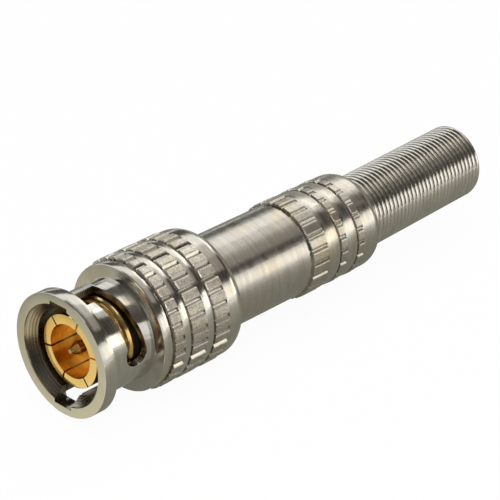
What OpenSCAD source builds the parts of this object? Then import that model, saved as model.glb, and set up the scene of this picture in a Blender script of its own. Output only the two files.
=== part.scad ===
// BNC plug with a bayonet nut, screw terminals, a screwed tail cover and a spring strain relief.
// Millimetres. The plug's axis is X, the middle of its mating face is at the origin and Z is up.
// Every piece is drawn about local Z, where local Z is the distance behind the mating face, and
// lay() turns it down onto X.

/* [Coupling nut] */
// Diameter of the front flange
flange_d = 14.0; // [13.4:0.1:14.6]
// Thickness of the front flange
flange_t = 1.65; // [1.2:0.05:2]
// Diameter of the barrel that carries the lug slots
barrel_d = 11.4; // [11.2:0.1:12]
// Bore of the nut, around the jack's shell
nut_bore_d = 9.8; // [9.78:0.01:10]
// Diameter of the lead-in at the mating face
lead_in_d = 11.6; // [10.6:0.1:11.8]
// Depth of the lead-in
lead_in_depth = 1.2; // [0.6:0.1:1.5]
// Width of the two entries for the jack's lugs
entry_w = 2.6; // [2.3:0.1:2.8]
// Diameter over the two lug entries inside the flange
entry_d = 12.2; // [11.8:0.1:12.4]
// Depth of the nut's face behind the mating face
grip_x = 8.0; // [7.6:0.1:8.4]
// Diameter over the grip's knurl flats
grip_d = 15.0; // [14.6:0.1:15.6]
// Diameter of the smooth rim in front of the knurl
rim_d = 14.4; // [14:0.1:14.6]
// Teeth around the grip
grip_teeth = 30; // [24:2:36]
// Rear end of the coupling nut
nut_end = 20.0; // [19.6:0.1:20.4]

/* [Lug slot] */
// Width of the slot along the axis
slot_w = 2.3; // [2.2:0.05:2.5]
// Turn from the entry to the seat of the lug, in degrees
slot_turn = 87.5; // [84:0.5:92]
// Middle of the slot where it leaves the entry
slot_start_x = 4.65; // [4.4:0.05:4.8]
// Middle of the lug's seat
seat_x = 5.5; // [5.4:0.05:5.6]
// Radius of the lug's seat
seat_r = 1.37; // [1.2:0.01:1.4]

/* [Contacts] */
// Outside diameter of the slotted contact
contact_d = 8.3; // [8.1:0.05:8.5]
// Inside diameter of the slotted contact
contact_bore_d = 6.1; // [5.8:0.05:6.2]
// Depth of the contact's face behind the mating face
contact_x = 1.3; // [1.1:0.05:1.5]
// Slits in the contact
slit_count = 6; // [4:1:8]
// Width of each slit
slit_w = 0.22; // [0.15:0.01:0.3]
// Depth of each slit
slit_depth = 3.6; // [3:0.1:4]
// Diameter of the centre pin
pin_d = 1.35; // [1.32:0.01:1.37]

/* [Body and tail] */
// Height of the body's flange over the neck, on which the nut turns
flange_h = 0.75; // [0.6:0.05:0.85]
// Outer diameter of the tail thread
thread_d = 7.6; // [7.4:0.05:7.7]
// Diameter of the smooth part of the tail sleeve
sleeve_d = 10.95; // [10.8:0.05:11.1]
// Height of the tail's knurl over the smooth part
tail_grip_h = 0.3; // [0.2:0.05:0.4]
// Teeth around the tail
tail_teeth = 22; // [18:2:26]
// Rear end of the tail sleeve
tail_end = 44.4; // [44:0.1:45]
// Wall of the tail sleeve's smooth part
tail_wall = 0.575; // [0.5:0.025:0.65]

/* [Spring] */
// Diameter of the spring's wire
wire_d = 0.64; // [0.6:0.01:0.66]
// Rear end of the spring
spring_end = 63.2; // [60:0.1:66]

/* [Hidden] */
$fn = 96;

eps = 0.01;
edge = 0.12;                    // broken edges of the turned pieces
up = 180;                       // local angle that lay() turns to the top
run_fit = 0.05;                 // radial clearance where one piece turns on another
part_gap = 0.05;                // axial clearance between pieces that turn against each other

tooth_base = 0.1;               // the teeth's base lies this far under their roots

// Knurl of the grip: front and rear of each row of teeth, and the narrow groove before it
grip_rows = [[9.4, 10.8], [11.9, 14.1], [15.25, 17.3]];
groove_w = 0.26;
groove_d = grip_d - 1.1;
band_d = grip_d - 0.2;          // the plain bands lie under the flats
grip_tooth_h = 0.26;
grip_flat = 0.54;               // share of the pitch that is flat
shoulder_r = 1.5;               // rounding of the nut's rear edge
grip_turn = 5.7;                // how far the grip's teeth are turned from the lug entries

// Inside of the nut, from the front
nut_web = [10.8, 13.0];         // the web that turns on the neck
skirt_gap = 0.275;
skirt_bore_d = sleeve_d + 2 * skirt_gap;    // behind the web, around the tail sleeve

// Contact and body
bore_gap = 0.2;                 // between the nut's bore and the body's flange
ridge_gap = 0.25;               // between the nut's bore and the contact's ridge
ridge_d = nut_bore_d - 2 * ridge_gap;
body_flange_d = nut_bore_d - 2 * bore_gap;
neck_d = body_flange_d - 2 * flange_h;
gasket_lip = 0.2;               // the gasket ends this far inside the body's flange
gasket_w = 0.7;
gasket_d = body_flange_d - 2 * gasket_lip;
finger_lip = 2.0;               // length of the contact's full diameter
finger_waist_d = gasket_d - 2 * gasket_w;
ridge_x = 5.9;                  // middle of the ridge
ridge_r = 0.75;
contact_end = 11.0;
socket_wall = 0.4;
socket_d = contact_bore_d + 2 * socket_wall;    // contact's stem in the body
body_flange = [8.0, 9.2];
neck_end = 14.4;
ring_groove = [13.05, 13.65];
ring_groove_d = neck_d - 0.8;
snap_ring_w = 0.85;
thread_end = 19.5;
trough_x = 20.1;                // the trough is open on top from here
trough_end = 36.0;
tail_bore_d = sleeve_d - 2 * tail_wall;
tube_gap = 0.2;                 // clearances outside and inside the insulating tube
trough_gap = 0.3;
tube_wall = 1.0;
trough_d = tail_bore_d - 2 * (tube_gap + tube_wall + trough_gap);
trough_wall = 0.4;
trough_bore_d = trough_d - 2 * trough_wall;
ear_rows = [[30.6, 32.6], [33.4, 35.4]];
ear_turn = 38;                  // how far each ear reaches up from the trough's edge, in degrees
ear_lap = 2;                    // and how far it reaches into the trough's wall
dielectric_x = 6.4;             // front face of the dielectric
dielectric_end = 17.0;
pin_tip_l = 0.9;
pin_tip_d = 0.5;
pin_stem_d = 1.8;
pin_socket = [19.6, 24.6];
pin_socket_d = 2.8;
core_hole_d = 1.1;
core_hole_depth = 4.2;
bead = [18.6, 25.4];            // rear insulator, around the pin's socket
bead_step = 0.3;
bead_d = trough_bore_d - 2 * bead_step;     // bore of the body around both insulators
core_screw_x = 22.4;
core_screw_d = 1.6;
screw_access_d = 2.2;
core_screw_foot = 0.35;         // the screw's foot presses on the core, this far over the axis
core_screw_l = 1.9;
driver_slot = [0.35, 0.45];     // width and depth

// Washers between the body's flange and the nut's web
nut_travel = 0.45;              // how far the nut can be pushed forward
wave_crest = body_flange[1] + nut_travel + 0.02;
wave_t = 0.22;
wave_rise = 0.34;
wave_count = 3;
washer_t = 0.4;
washer_x = nut_web[0] - part_gap - washer_t;
washer_gap = 0.1;               // around the neck
washer_bore_d = neck_d + 2 * washer_gap;
washer_d = body_flange_d;
wave_d = washer_d - 0.2;

// Tail
sleeve_x = 14.5;
female_thread_d = thread_d + 0.12;
female_end = 19.9;
tail_throat = 41.5;
tail_round = 1.95;
tail_rows = [[32.2, 34.7], [36.75, 37.75], [39.6, 40.6]];
tail_groove_w = 0.22;
tail_groove_d = sleeve_d - 0.05;
tail_tooth_h = 0.16;
tail_flat = 0.66;
tail_turn = -3;                 // how far the sleeve's teeth are turned on their thread
tail_grip_d = sleeve_d + 2 * tail_grip_h;
tail_band_d = tail_grip_d - 0.12;
tube = [20.4, 39.0];

// Spring: flared turns inside the tail, then close turns
coil_pitch = wire_d + 0.005;
flare_gap = 0.15;               // between the flared turns and the tail's bore
flare_step = 0.3;               // the close turns lie this far inside the flared ones
throat_gap = 0.15;
flare_d = tail_bore_d - 2 * flare_gap;
spring_d = flare_d - 2 * flare_step;
tail_throat_d = spring_d + 2 * throat_gap;
flare_turns = 1.5;
blend_turns = 1;
spring_start = 39.4;
coil_steps = 20;                // points in one turn of the wire
wire_sides = 6;

// Turns a piece drawn about local Z onto the plug's axis
module lay() {
    rotate([0, 90, 0]) children();
}

// A round bar or a ring from z0 to z1
module bar(z0, z1, d) {
    translate([0, 0, z0]) cylinder(h = z1 - z0, d = d);
}
module ring(z0, z1, d, bore) {
    difference() {
        bar(z0, z1, d);
        bar(z0 - eps, z1 + eps, bore);
    }
}

// A row of flat knurl teeth: each tooth is a flat, this share of the pitch, between two flanks
module tooth_row(z0, z1, d, teeth, height, flat_share) {
    pitch = 360 / teeth;
    flat = flat_share * pitch;
    crest = d / 2 / cos(flat / 2);
    root = d / 2 - height;
    root_gap = 0.06 * pitch;
    corners = [for (i = [0:teeth - 1]) each [
        [crest, i * pitch - flat / 2], [crest, i * pitch + flat / 2],
        [root, (i + 0.5) * pitch - root_gap / 2], [root, (i + 0.5) * pitch + root_gap / 2]]];
    translate([0, 0, z0]) linear_extrude(z1 - z0)
        polygon([for (c = corners) c[0] * [cos(c[1]), sin(c[1])]]);
}

// Outline of knurled rows: before each row a narrow groove, behind it a plain band. The teeth stand
// on a base a little under their roots.
function row_outline(rows, front_r, band_r, groove_r, groove, root_r) = [
    for (i = [0:len(rows) - 1]) let (z = rows[i][0], end = rows[i][1]) each [
        [i == 0 ? front_r : band_r, z - groove], [groove_r, z - groove], [groove_r, z],
        [root_r - tooth_base, z], [root_r - tooth_base, end], [band_r, end]]];

// Half section of a rear end at z, with its outer edge rounded
module rounded_end(outer_r, edge_r, z) {
    translate([0, z - edge_r - eps]) square([outer_r - edge_r, edge_r + eps]);
    intersection() {
        translate([outer_r - edge_r, z - edge_r]) circle(r = edge_r);
        translate([0, z - edge_r]) square([outer_r, edge_r]);
    }
}

// Lug slot: the front and rear edge at a turn of a degrees behind the entry's middle
barrel_r = barrel_d / 2;
entry_half = asin(entry_w / barrel_d);
function seat_half(a) =
    let (s = (a - slot_turn) * PI / 180 * barrel_r)
    abs(s) < seat_r ? sqrt(seat_r * seat_r - s * s) : -1;
function slot_mid(a) =
    slot_start_x + max(0, a) / slot_turn * (seat_x + seat_r - slot_w / 2 - slot_start_x);
function slot_front(a) =
    a <= entry_half ? -1
    : a >= slot_turn ? seat_x - seat_half(a)
    : seat_half(a) > 0 ? min(slot_mid(a) - slot_w / 2, seat_x - seat_half(a))
    : slot_mid(a) - slot_w / 2;
function slot_rear(a) =
    a >= slot_turn ? seat_x + seat_half(a)
    : seat_half(a) > 0 ? max(slot_mid(a) + slot_w / 2, seat_x + seat_half(a))
    : slot_mid(a) + slot_w / 2;
seat_span = seat_r / barrel_r * 180 / PI;
slot_stations = [
    -entry_half, 0, entry_half, entry_half + 0.02,
    for (i = [1:13]) entry_half + i / 13 * (slot_turn - seat_span - entry_half),
    for (i = [1:20]) slot_turn - seat_span * cos(i * 9) * 0.995];

// Cutter for one lug slot, swept round the barrel from the entry to the seat
module slot_cutter() {
    inner_r = nut_bore_d / 2 - 0.6;
    outer_r = barrel_r + 0.25;
    points = [for (a = slot_stations) each [
        [inner_r * cos(a), inner_r * sin(a), slot_front(a)],
        [outer_r * cos(a), outer_r * sin(a), slot_front(a)],
        [outer_r * cos(a), outer_r * sin(a), slot_rear(a)],
        [inner_r * cos(a), inner_r * sin(a), slot_rear(a)]]];
    last = 4 * (len(slot_stations) - 1);
    sides = [for (i = [0:4:last - 1]) for (k = [0:3]) each [
        [i + k, i + (k + 1) % 4, i + 4 + k],
        [i + (k + 1) % 4, i + 4 + (k + 1) % 4, i + 4 + k]]];
    polyhedron(points, concat(sides, [[3, 2, 1, 0], [last, last + 1, last + 2, last + 3]]));
}

// The nut's outside: flange, barrel, rim, knurled grip and rounded shoulder
module nut_outside() {
    rotate_extrude() {
        polygon([
            [0, 0], [flange_d / 2, 0], [flange_d / 2, flange_t - edge],
            [flange_d / 2 - edge, flange_t], [barrel_r, flange_t], [barrel_r, grip_x],
            [rim_d / 2 - edge, grip_x], [rim_d / 2, grip_x + edge],
            each row_outline(grip_rows, rim_d / 2, band_d / 2, groove_d / 2, groove_w,
                             grip_d / 2 - grip_tooth_h),
            [band_d / 2, nut_end - shoulder_r], [0, nut_end - shoulder_r]]);
        rounded_end(band_d / 2, shoulder_r, nut_end);
    }
    for (row = grip_rows) rotate(up + grip_turn)
        tooth_row(row[0], row[1], grip_d, grip_teeth, grip_tooth_h, grip_flat);
}

module coupling_nut() {
    color("silver") lay() difference() {
        nut_outside();
        // bore with its lead-in, the web's bore and the skirt's bore
        rotate_extrude() polygon([
            [0, -eps], [lead_in_d / 2, -eps], [lead_in_d / 2, 0.15], [nut_bore_d / 2, lead_in_depth],
            [nut_bore_d / 2, nut_web[0]], [neck_d / 2 + run_fit, nut_web[0]],
            [neck_d / 2 + run_fit, nut_web[1]], [skirt_bore_d / 2, nut_web[1]],
            [skirt_bore_d / 2, nut_end + 1], [0, nut_end + 1]]);
        for (side = [0, 180]) rotate(up + side) {
            slot_cutter();
            translate([0, -entry_w / 2, -eps]) cube([entry_d / 2, entry_w, slot_start_x + eps]);
        }
    }
}

module outer_contact() {
    lip_end = contact_x + finger_lip;
    color("gold") lay() difference() {
        rotate_extrude() difference() {
            union() {
                polygon([
                    [0, contact_x], [contact_d / 2 - 0.1, contact_x], [contact_d / 2, contact_x + 0.1],
                    [contact_d / 2, lip_end], [finger_waist_d / 2, lip_end + 0.15],
                    [finger_waist_d / 2, body_flange[0]], [socket_d / 2, body_flange[0]],
                    [socket_d / 2, contact_end], [0, contact_end]]);
                translate([ridge_d / 2 - ridge_r, ridge_x]) circle(r = ridge_r);
            }
            translate([-1, 0]) square([1 + contact_bore_d / 2, contact_end + 1]);
        }
        for (i = [0:slit_count - 1]) rotate(up + 20 + i * 360 / slit_count)
            translate([0, -slit_w / 2, contact_x - eps]) cube([contact_d, slit_w, slit_depth]);
    }
}

module sealing_gasket() {
    color("dimgray") lay()
        ring(ridge_x + ridge_r + part_gap, body_flange[0], gasket_d, finger_waist_d);
}

module main_body() {
    half_open = 2 * trough_d;
    color("lightgray") lay() {
        difference() {
            rotate_extrude() polygon([
                [socket_d / 2, body_flange[0]], [body_flange_d / 2, body_flange[0]],
                [body_flange_d / 2, body_flange[1]], [neck_d / 2, body_flange[1]],
                [neck_d / 2, ring_groove[0]], [ring_groove_d / 2, ring_groove[0]],
                [ring_groove_d / 2, ring_groove[1]], [neck_d / 2, ring_groove[1]],
                [neck_d / 2, neck_end], [thread_d / 2, neck_end], [thread_d / 2, thread_end],
                [trough_d / 2, thread_end], [trough_d / 2, trough_end],
                [trough_bore_d / 2, trough_end], [trough_bore_d / 2, bead[1]],
                [bead_d / 2, bead[1]], [bead_d / 2, contact_end], [socket_d / 2, contact_end]]);
            // the trough is open at the top, behind the thread
            translate([-half_open, -half_open / 2, trough_x])
                cube([half_open, half_open, trough_end]);
        }
        // clamp ears
        for (row = ear_rows) for (side = [-1, 1])
            translate([0, 0, row[0]])
                rotate(side > 0 ? 90 - ear_lap : -90 - ear_turn)
                    rotate_extrude(angle = ear_turn + ear_lap)
                        translate([trough_bore_d / 2, 0])
                            square([(trough_d - trough_bore_d) / 2, row[1] - row[0]]);
    }
}

module front_insulator() {
    color("white") lay() rotate_extrude() polygon([
        [pin_stem_d / 2, dielectric_x], [contact_bore_d / 2, dielectric_x],
        [contact_bore_d / 2, contact_end], [bead_d / 2, contact_end],
        [bead_d / 2, dielectric_end], [pin_stem_d / 2, dielectric_end]]);
}

module rear_insulator() {
    color("white") lay() difference() {
        bar(bead[0], bead[1], bead_d);
        bar(pin_socket[0], pin_socket[1], pin_socket_d);
        bar(bead[0] - eps, pin_socket[0] + eps, pin_stem_d);
        bar(pin_socket[1] - eps, bead[1] + eps, core_hole_d + 0.6);
        translate([0, 0, core_screw_x]) rotate([0, -90, 0])
            cylinder(h = trough_d, d = screw_access_d);
    }
}

module centre_pin() {
    color("gold") lay() difference() {
        union() {
            translate([0, 0, contact_x]) cylinder(h = pin_tip_l, d1 = pin_tip_d, d2 = pin_d);
            bar(contact_x + pin_tip_l, dielectric_x, pin_d);
            bar(dielectric_x, pin_socket[0], pin_stem_d);
            bar(pin_socket[0], pin_socket[1], pin_socket_d);
        }
        bar(pin_socket[1] - core_hole_depth, pin_socket[1] + eps, core_hole_d);
        translate([0, 0, core_screw_x]) rotate([0, -90, 0])
            cylinder(h = pin_socket_d, d = core_screw_d + 2 * run_fit);
    }
}

module core_screw() {
    top = core_screw_foot + core_screw_l;
    color("gainsboro") lay() translate([0, 0, core_screw_x]) rotate([0, -90, 0]) difference() {
        bar(core_screw_foot, top, core_screw_d);
        translate([-core_screw_d, -driver_slot[0] / 2, top - driver_slot[1]])
            cube([2 * core_screw_d, driver_slot[0], driver_slot[1] + eps]);
    }
}

// Flat spring washer with its crests along the axis
module wave_washer() {
    steps = 72;
    inner_r = washer_bore_d / 2;
    outer_r = wave_d / 2;
    function wave(i) = wave_crest + wave_rise * (1 - cos(i * 360 / steps * wave_count)) / 2;
    points = [for (i = [0:steps - 1]) let (a = i * 360 / steps, z = wave(i)) each [
        [inner_r * cos(a), inner_r * sin(a), z], [outer_r * cos(a), outer_r * sin(a), z],
        [outer_r * cos(a), outer_r * sin(a), z + wave_t],
        [inner_r * cos(a), inner_r * sin(a), z + wave_t]]];
    faces = [for (i = [0:steps - 1]) let (j = (i + 1) % steps) for (k = [0:3]) each [
        [4 * i + k, 4 * i + (k + 1) % 4, 4 * j + k],
        [4 * i + (k + 1) % 4, 4 * j + (k + 1) % 4, 4 * j + k]]];
    color("silver") lay() polyhedron(points, faces);
}

module thrust_washer() {
    color("silver") lay() ring(washer_x, washer_x + washer_t, washer_d, washer_bore_d);
}

module snap_ring() {
    opening = 40;
    color("gray") lay() translate([0, 0, ring_groove[0] + 0.05])
        rotate(up + opening / 2) rotate_extrude(angle = 360 - opening)
            translate([ring_groove_d / 2, 0]) square([snap_ring_w, 0.5]);
}

module insulating_tube() {
    color("whitesmoke") lay()
        ring(tube[0], tube[1], trough_d + 2 * (trough_gap + tube_wall), trough_d + 2 * trough_gap);
}

module tail_sleeve() {
    color("silver") lay() difference() {
        union() {
            rotate_extrude() {
                polygon([
                    [0, sleeve_x], [sleeve_d / 2 - edge, sleeve_x], [sleeve_d / 2, sleeve_x + edge],
                    each row_outline(tail_rows, sleeve_d / 2, tail_band_d / 2, tail_groove_d / 2,
                                     tail_groove_w, tail_grip_d / 2 - tail_tooth_h),
                    [tail_band_d / 2, tail_end - tail_round], [0, tail_end - tail_round]]);
                rounded_end(tail_band_d / 2, tail_round, tail_end);
            }
            for (row = tail_rows) rotate(up + tail_turn)
                tooth_row(row[0], row[1], tail_grip_d, tail_teeth, tail_tooth_h, tail_flat);
        }
        rotate_extrude() polygon([
            [0, sleeve_x - 1], [female_thread_d / 2, sleeve_x - 1], [female_thread_d / 2, female_end],
            [tail_bore_d / 2, female_end], [tail_bore_d / 2, tail_throat],
            [tail_throat_d / 2, tail_throat], [tail_throat_d / 2, tail_end + 1], [0, tail_end + 1]]);
    }
}

// Centre line of the wire: t counts turns from the spring's front end
coil_turns = (spring_end - spring_start - wire_d) / coil_pitch;
function blend(t) = max(0, min(1, (t - flare_turns) / blend_turns));
function coil_r(t) = (flare_d - blend(t) * (flare_d - spring_d) - wire_d) / 2;
function coil_x(t) = spring_start + wire_d / 2 + t * coil_pitch;

module strain_spring() {
    count = round(coil_turns * coil_steps);
    points = [for (i = [0:count]) let (t = i / count * coil_turns) for (k = [0:wire_sides - 1])
        let (w = 360 * k / wire_sides, r = coil_r(t) + wire_d / 2 * cos(w))
        [r * cos(360 * t), r * sin(360 * t), coil_x(t) + wire_d / 2 * sin(w)]];
    last = count * wire_sides;
    sides = [for (i = [0:count - 1]) for (k = [0:wire_sides - 1])
        let (a = i * wire_sides + k, b = i * wire_sides + (k + 1) % wire_sides)
        each [[a, b, a + wire_sides], [b, b + wire_sides, a + wire_sides]]];
    color("silver") lay() polyhedron(points, concat(sides, [
        [for (k = [wire_sides - 1:-1:0]) k],
        [for (k = [0:wire_sides - 1]) last + k]]));
}

coupling_nut();
outer_contact();
sealing_gasket();
main_body();
front_insulator();
centre_pin();
wave_washer();
thrust_washer();
snap_ring();
rear_insulator();
core_screw();
insulating_tube();
tail_sleeve();
strain_spring();
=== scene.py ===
"""BNC plug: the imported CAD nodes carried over, with finer turned pieces over the visible ones.

Every piece is laid out in plug coordinates, in millimetres: z is the distance behind the mating
face, r the distance from the axis, and a the angle from the top towards the camera's side.
"""
import math

import bmesh
import bpy
from mathutils import Matrix, Vector


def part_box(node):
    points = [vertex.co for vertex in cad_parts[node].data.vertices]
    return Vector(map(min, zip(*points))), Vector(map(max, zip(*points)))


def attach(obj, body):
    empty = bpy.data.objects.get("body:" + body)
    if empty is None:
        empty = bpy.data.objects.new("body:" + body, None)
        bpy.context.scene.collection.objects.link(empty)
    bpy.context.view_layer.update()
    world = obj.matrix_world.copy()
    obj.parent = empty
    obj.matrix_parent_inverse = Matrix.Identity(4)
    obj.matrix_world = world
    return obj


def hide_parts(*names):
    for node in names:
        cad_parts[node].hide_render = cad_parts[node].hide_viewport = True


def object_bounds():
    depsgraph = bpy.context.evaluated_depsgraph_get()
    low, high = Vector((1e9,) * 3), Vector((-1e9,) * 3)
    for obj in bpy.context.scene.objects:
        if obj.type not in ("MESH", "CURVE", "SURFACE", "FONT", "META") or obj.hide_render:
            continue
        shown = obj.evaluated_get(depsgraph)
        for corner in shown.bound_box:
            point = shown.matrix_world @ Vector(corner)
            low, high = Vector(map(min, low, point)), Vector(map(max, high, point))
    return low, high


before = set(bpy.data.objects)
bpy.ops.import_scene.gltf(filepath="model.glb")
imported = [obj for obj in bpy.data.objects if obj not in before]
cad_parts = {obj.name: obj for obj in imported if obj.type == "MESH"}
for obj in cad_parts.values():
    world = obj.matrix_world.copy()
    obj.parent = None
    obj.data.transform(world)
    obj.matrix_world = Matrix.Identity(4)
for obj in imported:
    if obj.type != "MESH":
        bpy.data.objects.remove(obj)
CAD_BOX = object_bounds()

MM = 0.001
NUT_LOW, NUT_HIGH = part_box("coupling_nut")
FACE_X = NUT_LOW.x
AXIS_Z = (NUT_LOW.z + NUT_HIGH.z) / 2
SPRING_END = (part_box("strain_spring")[1].x - FACE_X) / MM
SLEEVE_START = (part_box("tail_sleeve")[0].x - FACE_X) / MM
SLEEVE_END = (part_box("tail_sleeve")[1].x - FACE_X) / MM

# Coupling nut
FLANGE_R = 7.0
FLANGE_T = 1.65
BARREL_R = 5.7
BORE_R = 4.9
LEAD_R = 5.8
LEAD_FRONT = 0.15               # the lead-in's cylinder ends and its cone begins here
LEAD_END = 1.2
GRIP_Z = 8.0
RIM_R = 7.2
GRIP_BAND_R = 7.4
GRIP_GROOVE_R = 6.95
GRIP_ROWS = ((9.4, 10.8), (11.9, 14.1), (15.25, 17.3))
GRIP_GROOVE = 0.26
NUT_END = 20.0
NUT_ROUND = 1.5
WEB_Z = (10.8, 13.0)            # the web that turns on the body's neck
WEB_R = 4.0
SKIRT_R = 5.75
ENTRY_HALF = 1.3
ENTRY_R = 6.1

# Lug slot
SLOT_W = 2.3
SLOT_TURN = 87.5
SLOT_START = 4.65
SEAT_Z = 5.5
SEAT_R = 1.37
SLOT_EDGE = 0.1                 # rounding of the slot's edge on the barrel
FLANGE_STEP = 0.05              # the entry's slot starts this far behind the flange
PAST = 0.5                      # cutters reach this far in front of what they cut
ENTRY_INNER_R = 4
LEAD_SHADE = 0.6                 # share of the bore's painted shade that the lead-in gets

# Contact
CONTACT_Z = 1.3
CONTACT_R = 4.15
CONTACT_BORE_R = 3.05
LIP_L = 2
LIP_SLOPE = 0.15
WAIST_R = 3.8
RIDGE_Z = 5.9
RIDGE_R = 0.75
RIDGE_CENTRE_R = 3.9
STEM_Z = (8.0, 11.0)
STEM_R = 3.45
SLITS = 6
SLIT_FIRST = 20
SLIT_W = 0.22
SLIT_DEPTH = 3.6
SLIT_R = (2, 5)                 # the slits' cutters reach from inside the bore to outside the lip

# Tail sleeve
SLEEVE_R = 5.475
TAIL_BAND_R = 5.715
TAIL_GROOVE_R = 5.45
TAIL_ROWS = ((32.2, 34.7), (36.75, 37.75), (39.6, 40.6))
TAIL_GROOVE = 0.22
TAIL_ROUND = 1.9
THREAD_R = 3.86
THREAD_END = 19.9
TAIL_BORE_R = 4.9
THROAT_Z = 41.5
THROAT_R = 4.6

# Knurl
TOOTH_BEVEL = 0.07              # length of the teeth's front bevel
TOOTH_DROP = 0.08               # and its depth
TOOTH_SLOPE = 0.04              # length of the slope from the teeth to the plain band
FLAT_DEPTH = 0.12               # how far under a tooth's flat its grain reaches
NEAR = 0.01                     # slack for points that lie on a plane or radius

# Spring
WIRE_R = 0.318
COIL_PITCH = 0.645
COIL_R = 4.13
COIL_START = 39.4
COIL_INSET = 0.02               # the wire stays this far inside the spring's CAD ends
FLARE = 0.3                     # the flared turns stand this far outside the close ones
FLARE_END = 2.5                 # turns from the front until the flare is gone
SPRING_LIFT = 0.78

# Materials: noise by one scale, or by its scales along x, y and z; depths in metres
STAIN_NOISE = 260
STREAK_NOISE = (2600, 260, 260)
LINE_NOISE = (9000, 160, 160)
LINE_DEPTH = 0.000006
GLOSS_NOISE = 500
GLOSS_STRETCH = (3, 1, 1)
GRAIN_NOISE = 6500
NUT_GRAIN_DEPTH = 0.00003
TAIL_GRAIN_DEPTH = 0.000008
RIB_SCALE = 1300
MOTTLE_NOISE = 700
MOTTLE_DEPTH = 0.00001
WHITE = (1, 1, 1)

# Camera: the photograph's line of sight, and the way from the flange's middle to the camera
VIEW_AZIMUTH = -45.4
VIEW_ELEVATION = 28.2
VIEW_RIGHT = 19.54
VIEW_UP = 10.95
VIEW_BACK = 216.4
LENS = 151.2

# Studio, in metres: the reach along x of the cards round the plug, and how far off they hang
FLOOR_HALF = 3.0
FLOOR_WHITE = 0.96              # share of the floor that is white to the camera, without shadow
AMBIENT = 0.3
SIDE_REACH = (0.2, 0.8)
FRONT_REACH = (-0.3, 0.2)
GLEAM_REACH = (0.02, 0.11)
END_REACH = (0.45, 0.8)
END_TOP_REACH = (0.45, 0.55)
CARD_FAR = 0.45
CARD_NEAR = 0.44                # these hide the far cards behind them
LYING_LIFT = 0.0002             # above the floor
STANDING_LIFT = 0.0003


class Teeth:
    """Flat knurl teeth: count round the piece, flat radius, height, flat share, first centre."""

    ROOT_SHARE = 0.03           # half of the root's flat, as a share of the pitch
    EDGE_SHARE = 0.05           # the columns beside an edge, as a share of half a flat

    def __init__(self, count, flat_r, height, flat_share, first):
        self.pitch = 360 / count
        self.count = count
        self.flat_r = flat_r
        self.root_r = flat_r - height
        self.half_flat = flat_share * self.pitch / 2
        self.half_root = self.pitch / 2 - self.ROOT_SHARE * self.pitch
        self.first = first

    def angles(self):
        """Column angles of the whole round, closer together at the teeth's edges."""
        soft = self.EDGE_SHARE * self.half_flat
        flank = (self.half_flat + self.half_root) / 2
        side = (self.half_flat - soft, self.half_flat + soft, flank, self.half_root)
        offsets = sorted([-s for s in side] + [-0.5 * self.half_flat, 0, 0.5 * self.half_flat]
                         + list(side) + [self.pitch / 2])
        return [self.first + i * self.pitch + o for i in range(self.count) for o in offsets]

    def radius(self, a):
        """Radius of the tooth row's surface at angle a."""
        u = abs((a - self.first + self.pitch / 2) % self.pitch - self.pitch / 2)
        crest = self.flat_r / math.cos(math.radians(self.half_flat))
        if u <= self.half_flat:
            return self.flat_r / math.cos(math.radians(u))
        t = min(1, (u - self.half_flat) / (self.half_root - self.half_flat))
        return crest + t * (self.root_r - crest)


GRIP_TEETH = Teeth(30, 7.5, 0.26, 0.54, 5.7)
TAIL_TEETH = Teeth(22, 5.775, 0.16, 0.66, -3)

TO_WORLD = Matrix.Translation((FACE_X, 0, AXIS_Z)) @ Matrix.Scale(MM, 4)


def place(z, r, a):
    """Point in plug coordinates, still in millimetres from the mating face's middle."""
    t = math.radians(a)
    return Vector((z, -r * math.sin(t), r * math.cos(t)))


def add_object(name, verts, faces):
    """A new mesh object, with its faces turned outward."""
    mesh = bpy.data.meshes.new(name)
    mesh.from_pydata([tuple(v) for v in verts], [], faces)
    bm = bmesh.new()
    bm.from_mesh(mesh)
    bmesh.ops.recalc_face_normals(bm, faces=bm.faces)
    bm.to_mesh(mesh)
    bm.free()
    mesh.update()
    obj = bpy.data.objects.new(name, mesh)
    bpy.context.scene.collection.objects.link(obj)
    return obj


def soften(points):
    """Rounds each corner of a closed outline of (z, r, rounding, teeth) by its own rounding.

    A rounded corner becomes three points of a parabola that leaves both its sides smoothly.
    """
    out = []
    for i, (z, r, b, teeth) in enumerate(points):
        if b == 0:
            out.append((z, r, teeth))
            continue
        before = Vector(points[i - 1][:2])
        after = Vector(points[(i + 1) % len(points)][:2])
        here = Vector((z, r))
        first = here + (before - here).normalized() * b
        last = here + (after - here).normalized() * b
        middle = 0.25 * first + 0.5 * here + 0.25 * last
        out += [(*first, teeth), (*middle, teeth), (*last, teeth)]
    return out


def turned(name, outline, angles):
    """A closed outline turned round the axis; points marked with teeth follow their radius."""
    rings = soften(outline)
    verts = []
    for a in angles:
        for z, r, teeth in rings:
            verts.append(place(z, teeth.radius(a) + r if teeth else r, a))
    n, m = len(rings), len(angles)
    faces = [(j * n + i, j * n + (i + 1) % n, (j + 1) % m * n + (i + 1) % n, (j + 1) % m * n + i)
             for j in range(m) for i in range(n)]
    return add_object(name, verts, faces)


def mark(obj, name, rule):
    """Writes a value for each point from its z and r, for the material to read."""
    layer = obj.data.attributes.new(name, "FLOAT", "POINT")
    layer.data.foreach_set("value", [float(rule(v.co.x, math.hypot(v.co.y, v.co.z)))
                                     for v in obj.data.vertices])


def mark_flats(obj, rows, teeth):
    """Marks the flats and edges of the knurl teeth, which are grainy."""
    mark(obj, "grain", lambda z, r: r > teeth.flat_r - FLAT_DEPTH
         and any(start - NEAR < z < end - NEAR for start, end in rows))


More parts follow.
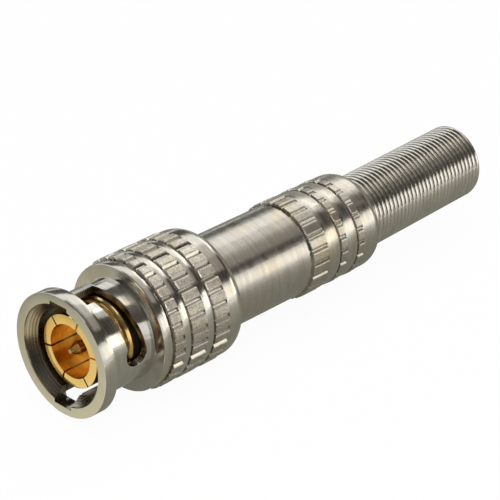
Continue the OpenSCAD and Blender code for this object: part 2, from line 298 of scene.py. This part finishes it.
def knurled_rows(rows, groove, front_r, groove_r, band_r, teeth):
    """Outline points of the rows, each a narrow groove, then teeth, then a plain band.

    A point on the teeth gives its height over their flats in place of its radius.
    """
    points = []
    for i, (start, end) in enumerate(rows):
        points += [(start - groove, front_r if i == 0 else band_r, 0.05, None),
                   (start - groove, groove_r, 0, None),
                   (start, groove_r, 0, None),
                   (start, -TOOTH_DROP, 0, teeth),
                   (start + TOOTH_BEVEL, 0, 0, teeth),
                   (end - TOOTH_SLOPE, 0, 0, teeth),
                   (end, band_r, 0, None)]
    return points


def rounded_corner(z, r, rounding, steps=10):
    """Outline points of a round from the outside (z - rounding, r) to the end (z, r - rounding)."""
    turns = [math.radians(90 * i / steps) for i in range(steps + 1)]
    return [(z - rounding + rounding * math.sin(t), r - rounding + rounding * math.cos(t), 0, None)
            for t in turns]


def finish_mesh(obj, sharp=30):
    """Brings the piece to its place and shades it smooth, with edges over the sharp angle kept."""
    obj.data.transform(TO_WORLD)
    obj.data.polygons.foreach_set("use_smooth", [True] * len(obj.data.polygons))
    obj.data.set_sharp_from_angle(angle=math.radians(sharp))
    weighted = obj.modifiers.new("weighted", "WEIGHTED_NORMAL")
    weighted.keep_sharp = True
    obj.data.update()


def cut(obj, cutter):
    """Takes the cutter out of the object for good."""
    boolean = obj.modifiers.new("cut", "BOOLEAN")
    boolean.operation = "DIFFERENCE"
    boolean.solver = "EXACT"
    boolean.object = cutter
    bpy.context.view_layer.update()
    done = bpy.data.meshes.new_from_object(
        obj.evaluated_get(bpy.context.evaluated_depsgraph_get()))
    obj.modifiers.clear()
    obj.data = done
    bpy.data.objects.remove(cutter)


def seat_half(a):
    """Half of the seat's width along the axis at angle a, or None beside it."""
    s = math.radians(a - SLOT_TURN) * BARREL_R
    return math.sqrt(SEAT_R ** 2 - s ** 2) if abs(s) < SEAT_R else None


def slot_edges(a):
    """Front and rear edge of the slot at angle a behind the entry's middle."""
    rise = SEAT_Z + SEAT_R - SLOT_W / 2 - SLOT_START
    middle = SLOT_START + max(0, a) / SLOT_TURN * rise
    half = seat_half(a)
    entry = math.degrees(math.asin(ENTRY_HALF / BARREL_R))
    front, rear = middle - SLOT_W / 2, middle + SLOT_W / 2
    if a <= entry + 0.001:
        front = FLANGE_T + FLANGE_STEP
    if half is not None:
        front = min(front, SEAT_Z - half) if a < SLOT_TURN else SEAT_Z - half
        rear = max(rear, SEAT_Z + half) if a < SLOT_TURN else SEAT_Z + half
    return front, rear


def slot_outline():
    """Closed outline of the slot as (arc length on the barrel, z).

    Its stations run across the entry, along the sweep and round the seat. The last ones stop just
    short of the seat's end, so that the outline never touches itself.
    """
    sweep_steps, seat_steps = 40, 30
    entry = math.degrees(math.asin(ENTRY_HALF / BARREL_R))
    span = math.degrees(SEAT_R / BARREL_R)
    lead = [-entry, -entry / 2, 0, entry / 2, entry, entry + 0.02]
    sweep = [entry + (SLOT_TURN - span - entry) * i / sweep_steps
             for i in range(1, sweep_steps + 1)]
    seat = [SLOT_TURN - 0.995 * span * math.cos(math.radians(180 / seat_steps * i))
            for i in range(1, seat_steps + 1)]
    stations = lead + sweep + seat
    arc = [math.radians(a) * BARREL_R for a in stations]
    edges = [slot_edges(a) for a in stations]
    front = [Vector((s, e[0])) for s, e in zip(arc, edges)]
    rear = [Vector((s, e[1])) for s, e in zip(arc, edges)]
    return front + rear[::-1]


def grown(outline, amount):
    """The outline moved outward by an amount, with its corners kept sharp."""
    out = []
    for i, p in enumerate(outline):
        before = (p - outline[i - 1]).normalized()
        after = (outline[(i + 1) % len(outline)] - p).normalized()
        corner = Vector((before.y + after.y, -before.x - after.x))
        out.append(p + corner * amount / max(0.5, 1 + before.dot(after)))
    return out


def slot_cutter(side):
    """Cutter for one lug slot, flared at the barrel's surface so that the slot's edge is round."""
    base = slot_outline()
    edge = SLOT_EDGE
    steps = ((BORE_R - 0.6, 0), (BARREL_R - edge, 0), (BARREL_R - 0.3 * edge, 0.3 * edge),
             (BARREL_R + 0.01, 1.1 * edge), (BARREL_R + 0.35, 1.1 * edge))
    verts = [place(p.y, r, math.degrees(p.x / BARREL_R) + side)
             for r, amount in steps for p in grown(base, amount)]
    n, top = len(base), len(steps) - 1
    faces = [(k * n + i, k * n + (i + 1) % n, (k + 1) * n + (i + 1) % n, (k + 1) * n + i)
             for k in range(top) for i in range(n)]
    for k in (0, top):
        faces += [(k * n + i, k * n + i + 1, k * n + n - 2 - i, k * n + n - 1 - i)
                  for i in range(n // 2 - 1)]
    return add_object("cutter", verts, faces)


def block_cutter(z0, z1, r0, r1, half, a):
    """Cutter with parallel sides that stands on the axis at angle a."""
    up, side = place(0, 1, a) - place(0, 0, a), place(0, 1, a + 90) - place(0, 0, a)
    verts = [place(z, 0, 0) + up * r + side * s for z in (z0, z1) for r in (r0, r1)
             for s in (-half, half)]
    faces = [(0, 1, 3, 2), (4, 6, 7, 5), (0, 4, 5, 1), (2, 3, 7, 6), (0, 2, 6, 4), (1, 5, 7, 3)]
    return add_object("cutter", verts, faces)


def nut_outline():
    """Outline of the coupling nut: outside from the front, then the bores from the rear."""
    outside = [(0, LEAD_R, 0.04, None), (0, FLANGE_R, 0.06, None),
               (FLANGE_T, FLANGE_R, 0.09, None), (FLANGE_T, BARREL_R, 0.06, None),
               (GRIP_Z, BARREL_R, 0.06, None), (GRIP_Z, RIM_R, 0.1, None)]
    rows = knurled_rows(GRIP_ROWS, GRIP_GROOVE, RIM_R, GRIP_GROOVE_R, GRIP_BAND_R, GRIP_TEETH)
    web_front, web_rear = WEB_Z
    inside = [(NUT_END, SKIRT_R, 0.03, None), (web_rear, SKIRT_R, 0, None),
              (web_rear, WEB_R, 0, None), (web_front, WEB_R, 0, None),
              (web_front, BORE_R, 0, None), (LEAD_END, BORE_R, 0.05, None),
              (LEAD_FRONT, LEAD_R, 0.04, None)]
    return outside + rows + rounded_corner(NUT_END, GRIP_BAND_R, NUT_ROUND) + inside


def make_nut():
    """The coupling nut, with its two lug slots and their entries cut out."""
    nut = turned("nut", nut_outline(), GRIP_TEETH.angles())
    for side in (0, 180):
        cut(nut, slot_cutter(side))
        cut(nut, block_cutter(-PAST, FLANGE_T + 0.1, ENTRY_INNER_R, ENTRY_R, ENTRY_HALF, side))
    mark_flats(nut, GRIP_ROWS, GRIP_TEETH)
    # painted shade: the bore and the slots' walls in full, the lead-in behind its edge in part
    mark(nut, "inside", lambda z, r: r < BARREL_R - 0.5 * SLOT_EDGE if z > LEAD_END - 0.1
         else LEAD_SHADE * (z > 0.1 and r < LEAD_R + NEAR))
    mark(nut, "faced", lambda z, r: z < NEAR)
    finish_mesh(nut)
    return nut


def contact_outline():
    """Outline of the slotted contact: lip, waist, round ridge and stem."""
    lip_end = CONTACT_Z + LIP_L
    stem_front, stem_rear = STEM_Z
    turns = [math.radians(t) for t in range(172, 7, -12)]
    ridge = [(RIDGE_Z + RIDGE_R * math.cos(t), RIDGE_CENTRE_R + RIDGE_R * math.sin(t), 0, None)
             for t in turns]
    return [(CONTACT_Z, CONTACT_BORE_R, 0.06, None), (CONTACT_Z, CONTACT_R, 0.1, None),
            (lip_end, CONTACT_R, 0.05, None), (lip_end + LIP_SLOPE, WAIST_R, 0.03, None), *ridge,
            (stem_front, WAIST_R, 0, None), (stem_front, STEM_R, 0, None),
            (stem_rear, STEM_R, 0, None), (stem_rear, CONTACT_BORE_R, 0, None)]


def make_contact():
    """The slotted gold contact."""
    contact = turned("contact", contact_outline(), [2 * i for i in range(180)])
    for i in range(SLITS):
        a = SLIT_FIRST + i * 360 / SLITS
        cut(contact, block_cutter(CONTACT_Z - PAST, CONTACT_Z + SLIT_DEPTH, *SLIT_R,
                                  SLIT_W / 2, a))
    finish_mesh(contact)
    return contact


def make_sleeve():
    """The tail sleeve, with its thread's bore, its knurled band and its throat."""
    rows = knurled_rows(TAIL_ROWS, TAIL_GROOVE, SLEEVE_R, TAIL_GROOVE_R, TAIL_BAND_R, TAIL_TEETH)
    outline = [(SLEEVE_START, THREAD_R, 0, None), (SLEEVE_START, SLEEVE_R, 0.1, None), *rows,
               *rounded_corner(SLEEVE_END, TAIL_BAND_R, TAIL_ROUND),
               (SLEEVE_END, THROAT_R, 0.03, None), (THROAT_Z, THROAT_R, 0, None),
               (THROAT_Z, TAIL_BORE_R, 0, None), (THREAD_END, TAIL_BORE_R, 0, None),
               (THREAD_END, THREAD_R, 0, None)]
    sleeve = turned("sleeve", outline, TAIL_TEETH.angles())
    mark_flats(sleeve, TAIL_ROWS, TAIL_TEETH)
    finish_mesh(sleeve)
    return sleeve


def make_spring():
    """Close-coiled wire, its free end lifted a little by the set of the wire."""
    steps, sides = 48, 10
    turns = (SPRING_END - COIL_START - 2 * WIRE_R - 2 * COIL_INSET) / COIL_PITCH
    count = round(turns * steps)
    verts = []
    for i in range(count + 1):
        t = i / count * turns
        z = COIL_START + WIRE_R + COIL_INSET + t * COIL_PITCH
        radius = COIL_R + FLARE * max(0, min(1, FLARE_END - t))
        free = max(0, z - THROAT_Z) / (SPRING_END - THROAT_Z)
        a = 180 - 360 * t
        for k in range(sides):
            w = 2 * math.pi * k / sides
            p = place(z + WIRE_R * math.sin(w), radius + WIRE_R * math.cos(w), a)
            verts.append(p + Vector((0, 0, SPRING_LIFT * free)))
    faces = [(i * sides + k, i * sides + (k + 1) % sides, (i + 1) * sides + (k + 1) % sides,
              (i + 1) * sides + k) for i in range(count) for k in range(sides)]
    last = count * sides
    faces += [tuple(range(sides)), tuple(last + k for k in range(sides))]
    spring = add_object("spring", verts, faces)
    finish_mesh(spring, sharp=60)
    return spring


class Shader:
    """A node material built up from its Principled shader."""

    def __init__(self, name, metallic, roughness, color):
        self.material = bpy.data.materials.new(name)
        self.material.use_nodes = True
        self.tree = self.material.node_tree
        self.main = self.tree.nodes["Principled BSDF"]
        self.main.inputs["Metallic"].default_value = metallic
        self.main.inputs["Roughness"].default_value = roughness
        self.main.inputs["Base Color"].default_value = (*color, 1)
        self.place = self.node("ShaderNodeTexCoord").outputs["Object"]

    def node(self, kind, **values):
        """A new node with its properties set."""
        made = self.tree.nodes.new(kind)
        for key, value in values.items():
            setattr(made, key, value)
        return made

    def link(self, source, target):
        """Joins an output socket to an input socket."""
        self.tree.links.new(source, target)

    def stretched(self, scale):
        """Object position with its own scale along each axis."""
        mapping = self.node("ShaderNodeMapping")
        mapping.inputs["Scale"].default_value = scale
        self.link(self.place, mapping.inputs["Vector"])
        return mapping.outputs["Vector"]

    def noise(self, scale, stretch=(1, 1, 1), detail=3):
        """Noise by the object's position, as a factor."""
        made = self.node("ShaderNodeTexNoise")
        made.inputs["Scale"].default_value = scale
        made.inputs["Detail"].default_value = detail
        self.link(self.stretched(stretch), made.inputs["Vector"])
        return made.outputs["Fac"]

    def remap(self, source, low, high, start=0.3, end=0.7):
        """The source's range from start to end, spread from low to high."""
        made = self.node("ShaderNodeMapRange")
        made.inputs["From Min"].default_value = start
        made.inputs["From Max"].default_value = end
        made.inputs["To Min"].default_value = low
        made.inputs["To Max"].default_value = high
        self.link(source, made.inputs["Value"])
        return made.outputs["Result"]

    def mix(self, factor, first, second):
        """A colour between two colours or sockets."""
        made = self.node("ShaderNodeMix", data_type="RGBA")
        self.link(factor, made.inputs["Factor"])
        for socket, value in ((made.inputs[6], first), (made.inputs[7], second)):
            if isinstance(value, tuple):
                socket.default_value = (*value, 1)
            else:
                self.link(value, socket)
        return made.outputs[2]

    def math(self, operation, first, second):
        """One operation on two numbers or sockets."""
        made = self.node("ShaderNodeMath", operation=operation)
        for socket, value in zip(made.inputs, (first, second)):
            if isinstance(value, (int, float)):
                socket.default_value = value
            else:
                self.link(value, socket)
        return made.outputs["Value"]

    def mix_multiply(self, first, second):
        """The product of two colours."""
        made = self.node("ShaderNodeMix", data_type="RGBA", blend_type="MULTIPLY")
        made.inputs["Factor"].default_value = 1
        self.link(first, made.inputs[6])
        self.link(second, made.inputs[7])
        return made.outputs[2]

    def set(self, name, source):
        """Links a source to the Principled shader."""
        self.link(source, self.main.inputs[name])

    def get(self, name):
        """The socket that is linked to the Principled shader now."""
        return self.main.inputs[name].links[0].from_socket

    def bump(self, height, distance, strength=1.0, under=None):
        """Bump from a height, over another normal if one is given."""
        made = self.node("ShaderNodeBump")
        made.inputs["Distance"].default_value = distance
        made.inputs["Strength"].default_value = strength
        self.link(height, made.inputs["Height"])
        if under:
            self.link(under, made.inputs["Normal"])
        return made.outputs["Normal"]


def turned_metal(name, color, stain, rough, lines=0.6, stains=(0.45, 0.75)):
    """Plated metal with fine turning lines round the axis and faint stains."""
    s = Shader(name, 1.0, rough[0], color)
    patches = s.remap(s.noise(STAIN_NOISE, detail=5), 0, 1, *stains)
    streaks = s.remap(s.noise(1, STREAK_NOISE), 0, 1)
    plating = s.mix(patches, color, stain)
    s.set("Base Color", s.mix_multiply(plating, s.mix(streaks, (0.86, 0.85, 0.83), WHITE)))
    s.set("Roughness", s.remap(s.noise(GLOSS_NOISE, GLOSS_STRETCH), *rough))
    s.set("Normal", s.bump(s.noise(1, LINE_NOISE, detail=2), LINE_DEPTH, lines))
    return s


def add_grain(s, depth, dark, rough):
    """Gives the flats of the knurl teeth their grain."""
    flat = s.node("ShaderNodeAttribute", attribute_name="grain").outputs["Fac"]
    speckle = s.noise(GRAIN_NOISE, detail=1)
    pits = s.math("MULTIPLY", flat, s.remap(speckle, 1.2, 0, 0.40, 0.56))
    s.set("Base Color", s.mix_multiply(s.get("Base Color"), s.mix(pits, WHITE, dark)))
    s.set("Normal", s.bump(s.math("MULTIPLY", speckle, flat), depth, 1, s.get("Normal")))
    s.set("Roughness", s.math("ADD", s.get("Roughness"), s.math("MULTIPLY", flat, rough)))


def dull_faces(s):
    """Gives the nut's flat front face its duller satin."""
    faced = s.node("ShaderNodeAttribute", attribute_name="faced").outputs["Fac"]
    dull = s.mix(faced, WHITE, (0.80, 0.83, 0.84))
    s.set("Base Color", s.mix_multiply(s.get("Base Color"), dull))


def paint_inside_shade(s):
    """Paints shade into the nut's bore and the slots' walls: a dark colour for the shade in these
    hollows, over duller metal ribbed by the tool.
    """
    inside = s.node("ShaderNodeAttribute", attribute_name="inside").outputs["Fac"]
    ribs = s.node("ShaderNodeTexWave", wave_type="BANDS", bands_direction="X")
    ribs.inputs["Scale"].default_value = RIB_SCALE
    ribs.inputs["Distortion"].default_value = 0.4
    s.link(s.place, ribs.inputs["Vector"])
    # painted shade of the hollows, with the tool's ribs in it
    dark = s.mix(ribs.outputs["Fac"], (0.10, 0.075, 0.05), (0.34, 0.28, 0.2))
    s.set("Base Color", s.mix(inside, s.get("Base Color"), dark))
    s.set("Roughness", s.math("ADD", s.get("Roughness"), s.math("MULTIPLY", inside, 0.12)))


def plain_material(name, color, other, roughness):
    """Moulded plastic or rubber with a faint mottle."""
    s = Shader(name, 0.0, roughness, color)
    mottle = s.noise(MOTTLE_NOISE, detail=4)
    s.set("Base Color", s.mix(s.remap(mottle, 0, 1), color, other))
    s.set("Normal", s.bump(mottle, MOTTLE_DEPTH, 0.4))
    return s


def dress(obj, material):
    """Gives the object this material alone."""
    obj.data.materials.clear()
    obj.data.materials.append(material)


def add_pieces():
    """The four finer pieces, each over its CAD node and on its body."""
    nickel = turned_metal("nut_nickel", (0.72, 0.70, 0.65), (0.62, 0.58, 0.50), (0.12, 0.18))
    add_grain(nickel, NUT_GRAIN_DEPTH, (0.70, 0.64, 0.55), 0.3)
    dull_faces(nickel)
    paint_inside_shade(nickel)
    tail = turned_metal("tail_nickel", (0.62, 0.595, 0.55), (0.66, 0.59, 0.44), (0.18, 0.27),
                        stains=(0.5, 0.75))
    add_grain(tail, TAIL_GRAIN_DEPTH, (0.86, 0.84, 0.80), 0.08)
    wire = turned_metal("spring_wire", (0.82, 0.79, 0.74), (0.70, 0.67, 0.61), (0.12, 0.18), 0.1)
    gold = turned_metal("contact_gold", (0.97, 0.72, 0.31), (0.93, 0.62, 0.22), (0.15, 0.2), 0.3)
    made = ((make_nut(), "nut", "coupling_nut", "nut_nickel", nickel),
            (make_contact(), "core", "outer_contact", "contact_gold", gold),
            (make_sleeve(), "tail", "tail_sleeve", "tail_nickel", tail),
            (make_spring(), "tail_inner", "strain_spring", "spring_wire", wire))
    for piece, body, node, slot, shader in made:
        dress(piece, shader.material)
        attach(piece, body)
        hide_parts(node)


def dress_cad_nodes():
    """Materials of the nodes that show as they are."""
    body = turned_metal("body_nickel", (0.58, 0.56, 0.52), (0.48, 0.45, 0.38), (0.2, 0.3))
    steel = turned_metal("washer_steel", (0.5, 0.5, 0.49), (0.38, 0.37, 0.35), (0.25, 0.35))
    # the pin's gold is darker than the contact's: painted shade of the deep bore
    pin = turned_metal("pin_gold", (0.58, 0.37, 0.14), (0.45, 0.28, 0.1), (0.1, 0.16), 0.2)
    white = plain_material("dielectric", (0.84, 0.78, 0.66), (0.76, 0.69, 0.56), 0.45)
    # the front insulator's orange is painted reflection of light off the gold contact round it
    insulator_gold_glow = plain_material("front_dielectric", (0.72, 0.42, 0.12), (0.62, 0.34, 0.09), 0.4)
    liner = plain_material("liner", (0.78, 0.77, 0.72), (0.7, 0.69, 0.63), 0.3)
    rubber = plain_material("gasket_rubber", (0.012, 0.011, 0.010), (0.02, 0.018, 0.016), 0.7)
    dressed = {"main_body": body, "thrust_washer": steel, "wave_washer": steel,
               "snap_ring": steel, "core_screw": steel, "centre_pin": pin,
               "front_insulator": insulator_gold_glow, "rear_insulator": white, "insulating_tube": liner,
               "sealing_gasket": rubber}
    for node, material in dressed.items():
        dress(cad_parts[node], material.material)


def add_floor():
    """White floor under the plug that keeps a faint part of its shadow."""
    half, z = FLOOR_HALF, CAD_BOX[0].z
    floor = add_object("floor", [(-half, -half, z), (half, -half, z), (half, half, z),
                                 (-half, half, z)], [(0, 1, 2, 3)])
    material = bpy.data.materials.new("floor_white")
    material.use_nodes = True
    nodes, links = material.node_tree.nodes, material.node_tree.links
    surface = nodes["Principled BSDF"]
    surface.inputs["Base Color"].default_value = (0.8, 0.8, 0.79, 1)
    surface.inputs["Roughness"].default_value = 0.9
    white = nodes.new("ShaderNodeEmission")
    path = nodes.new("ShaderNodeLightPath")
    share = nodes.new("ShaderNodeMath")
    share.operation = "MULTIPLY"
    share.inputs[1].default_value = FLOOR_WHITE
    mix = nodes.new("ShaderNodeMixShader")
    links.new(path.outputs["Is Camera Ray"], share.inputs[0])
    links.new(share.outputs["Value"], mix.inputs["Fac"])
    links.new(surface.outputs["BSDF"], mix.inputs[1])
    links.new(white.outputs["Emission"], mix.inputs[2])
    links.new(mix.outputs["Shader"], nodes["Material Output"].inputs["Surface"])
    dress(floor, material)


def add_world():
    """White to the camera and in reflections, a plain level of light on everything else."""
    world = bpy.data.worlds.new("studio")
    bpy.context.scene.world = world
    world.use_nodes = True
    nodes, links = world.node_tree.nodes, world.node_tree.links
    light = nodes["Background"]
    light.inputs["Color"].default_value = (1, 1, 1, 1)
    light.inputs["Strength"].default_value = AMBIENT
    white = nodes.new("ShaderNodeBackground")
    white.inputs["Color"].default_value = (1, 1, 1, 1)
    path = nodes.new("ShaderNodeLightPath")
    seen = path.outputs["Is Camera Ray"]
    for other in ("Is Glossy Ray", "Is Transmission Ray"):
        either = nodes.new("ShaderNodeMath")
        either.operation = "MAXIMUM"
        links.new(seen, either.inputs[0])
        links.new(path.outputs[other], either.inputs[1])
        seen = either.outputs["Value"]
    mix = nodes.new("ShaderNodeMixShader")
    links.new(seen, mix.inputs["Fac"])
    links.new(light.outputs["Background"], mix.inputs[1])
    links.new(white.outputs["Background"], mix.inputs[2])
    links.new(mix.outputs["Shader"], nodes["World Output"].inputs["Surface"])


def reflection_card(name, color, verts, faces):
    """A plain card of the studio that glows with its colour and that only the metal's reflections
    see.
    """
    card = add_object(name, verts, faces)
    material = bpy.data.materials.new(name)
    material.use_nodes = True
    nodes, links = material.node_tree.nodes, material.node_tree.links
    glow = nodes.new("ShaderNodeEmission")
    glow.inputs["Color"].default_value = (*color, 1)
    links.new(glow.outputs["Emission"], nodes["Material Output"].inputs["Surface"])
    dress(card, material)
    card.visible_camera = False
    card.visible_diffuse = False
    card.visible_shadow = False
    return card


def hanging_card(name, color, first, last, reach=SIDE_REACH, distance=CARD_FAR):
    """A curved card over the plug, between two angles from the top."""
    strips = 8
    verts = []
    for x in reach:
        for i in range(strips + 1):
            t = math.radians(first + (last - first) * i / strips)
            verts.append((x, -distance * math.sin(t), AXIS_Z + distance * math.cos(t)))
    faces = [(i, i + 1, i + strips + 2, i + strips + 1) for i in range(strips)]
    reflection_card(name, color, verts, faces)


def lying_card(name, near, far, low, high):
    """A glowing card on the floor between two corners (x, y); its colour, which changes along y,
    paints the floor's light and shade as the metal reflects it.
    """
    z = CAD_BOX[0].z + LYING_LIFT
    verts = [(low[0], low[1], z), (high[0], low[1], z), (high[0], high[1], z),
             (low[0], high[1], z)]
    card = reflection_card(name, near, verts, [(0, 1, 2, 3)])
    nodes, links = card.active_material.node_tree.nodes, card.active_material.node_tree.links
    across = nodes.new("ShaderNodeSeparateXYZ")
    blend = nodes.new("ShaderNodeMix")
    blend.data_type = "RGBA"
    blend.inputs[6].default_value = (*near, 1)
    blend.inputs[7].default_value = (*far, 1)
    links.new(nodes.new("ShaderNodeTexCoord").outputs["Generated"], across.inputs["Vector"])
    links.new(across.outputs["Y"], blend.inputs["Factor"])
    links.new(blend.outputs[2], nodes["Emission"].inputs["Color"])


def standing_card(name, color, x, half_y, height):
    """A card that stands across the plug's axis."""
    low = CAD_BOX[0].z + STANDING_LIFT
    verts = [(x, -half_y, low), (x, half_y, low), (x, half_y, height), (x, -half_y, height)]
    reflection_card(name, color, verts, [(0, 1, 2, 3)])


def add_lamp(name, place_at, size, energy):
    """A rectangular lamp that faces the plug's mating face."""
    lamp = bpy.data.lights.new(name, "AREA")
    lamp.shape = "RECTANGLE"
    lamp.size, lamp.size_y = size
    lamp.energy = energy
    obj = bpy.data.objects.new(name, lamp)
    obj.location = place_at
    aim = Vector((0, 0, AXIS_Z)) - obj.location
    obj.rotation_euler = aim.to_track_quat("-Z", "Y").to_euler()
    bpy.context.scene.collection.objects.link(obj)


def add_lamps():
    """The light that falls on the plug and its floor."""
    add_lamp("key", Vector((-0.05, -0.15, 0.6)), (0.4, 0.4), 2.4)
    add_lamp("fill", Vector((0.5, 0.2, 0.5)), (0.25, 0.25), 1.0)
    add_lamp("front", Vector((-0.4, -0.06, 0.08)), (0.12, 0.12), 1.1)


def add_cards():
    """The bands that the nickel shows, from the far side over the top to the near side."""
    # seen by the nut, the sleeve and the tail band
    hanging_card("dark_rear", (0.10, 0.10, 0.09), -84, -56)
    hanging_card("bright_rear", (1.1, 1.09, 1.05), -52, -18)
    hanging_card("grey_top", (0.60, 0.58, 0.54), -18, 12)
    hanging_card("brown_top", (0.40, 0.37, 0.335), 12, 40)
    hanging_card("dark_top", (0.06, 0.055, 0.05), 40, 62)
    hanging_card("bright_front", (1.45, 1.39, 1.25), 68, 94)
    # seen by the barrel behind the slot and by the gold ridge
    hanging_card("front_top", (0.08, 0.075, 0.065), -32, 64, FRONT_REACH)
    hanging_card("front_gleam", (1.5, 1.42, 1.25), -2, 22, GLEAM_REACH, CARD_NEAR)
    # seen by the spring's crests
    hanging_card("end_grey_rear", (0.4, 0.39, 0.36), -92, -46, END_REACH, CARD_NEAR)
    hanging_card("end_light_top", (1.7, 1.65, 1.55), -44, 2, END_TOP_REACH, CARD_NEAR)
    hanging_card("end_dark", (0.05, 0.045, 0.04), 6, 56, END_REACH, CARD_NEAR)
    hanging_card("end_light_front", (2.2, 2.12, 1.95), 60, 100, END_REACH, CARD_NEAR)
    # seen by the undersides, and by the front faces of flange, contact and grip: glowing sheets
    # that paint the floor's light and shade in their reflections
    lying_card("floor_side", (0.58, 0.56, 0.48), (0.10, 0.10, 0.085), (0, -0.06), (1.2, 0.02))
    lying_card("floor_rear", (0.26, 0.26, 0.22), (0.3, 0.3, 0.26), (0, 0.021), (1.2, 0.7))
    lying_card("floor_front", (1.0, 0.92, 0.68), (0.25, 0.25, 0.21), (-0.25, -0.006),
               (-0.0002, 0.05))
    lying_card("floor_left", (0.05, 0.045, 0.04), (0.09, 0.07, 0.045), (-0.28, -0.4),
               (-0.0002, -0.006))
    standing_card("front_wall", (0.035, 0.035, 0.03), -0.3, 0.8, 0.8)
    standing_card("rear_wall", (0.28, 0.26, 0.23), 1.2, 1.2, 1.2)


def add_camera():
    """Camera on the photograph's line of sight, placed from the flange's middle."""
    azimuth, elevation = math.radians(VIEW_AZIMUTH), math.radians(VIEW_ELEVATION)
    back = Vector((math.sin(azimuth) * math.cos(elevation),
                   -math.cos(azimuth) * math.cos(elevation), math.sin(elevation)))
    right = Vector((math.cos(azimuth), math.sin(azimuth), 0))
    up = back.cross(right)
    flange = TO_WORLD @ place(0, 0, 0)
    data = bpy.data.cameras.new("camera")
    data.lens = LENS
    camera = bpy.data.objects.new("camera", data)
    camera.location = flange + (VIEW_RIGHT * right + VIEW_UP * up + VIEW_BACK * back) * MM
    camera.rotation_mode = "QUATERNION"
    camera.rotation_quaternion = (-back).to_track_quat("-Z", "Y")
    bpy.context.scene.collection.objects.link(camera)
    bpy.context.scene.camera = camera


add_camera()
add_pieces()
dress_cad_nodes()
add_floor()
add_world()
add_lamps()
add_cards()
bpy.context.scene.view_settings.view_transform = "Standard"
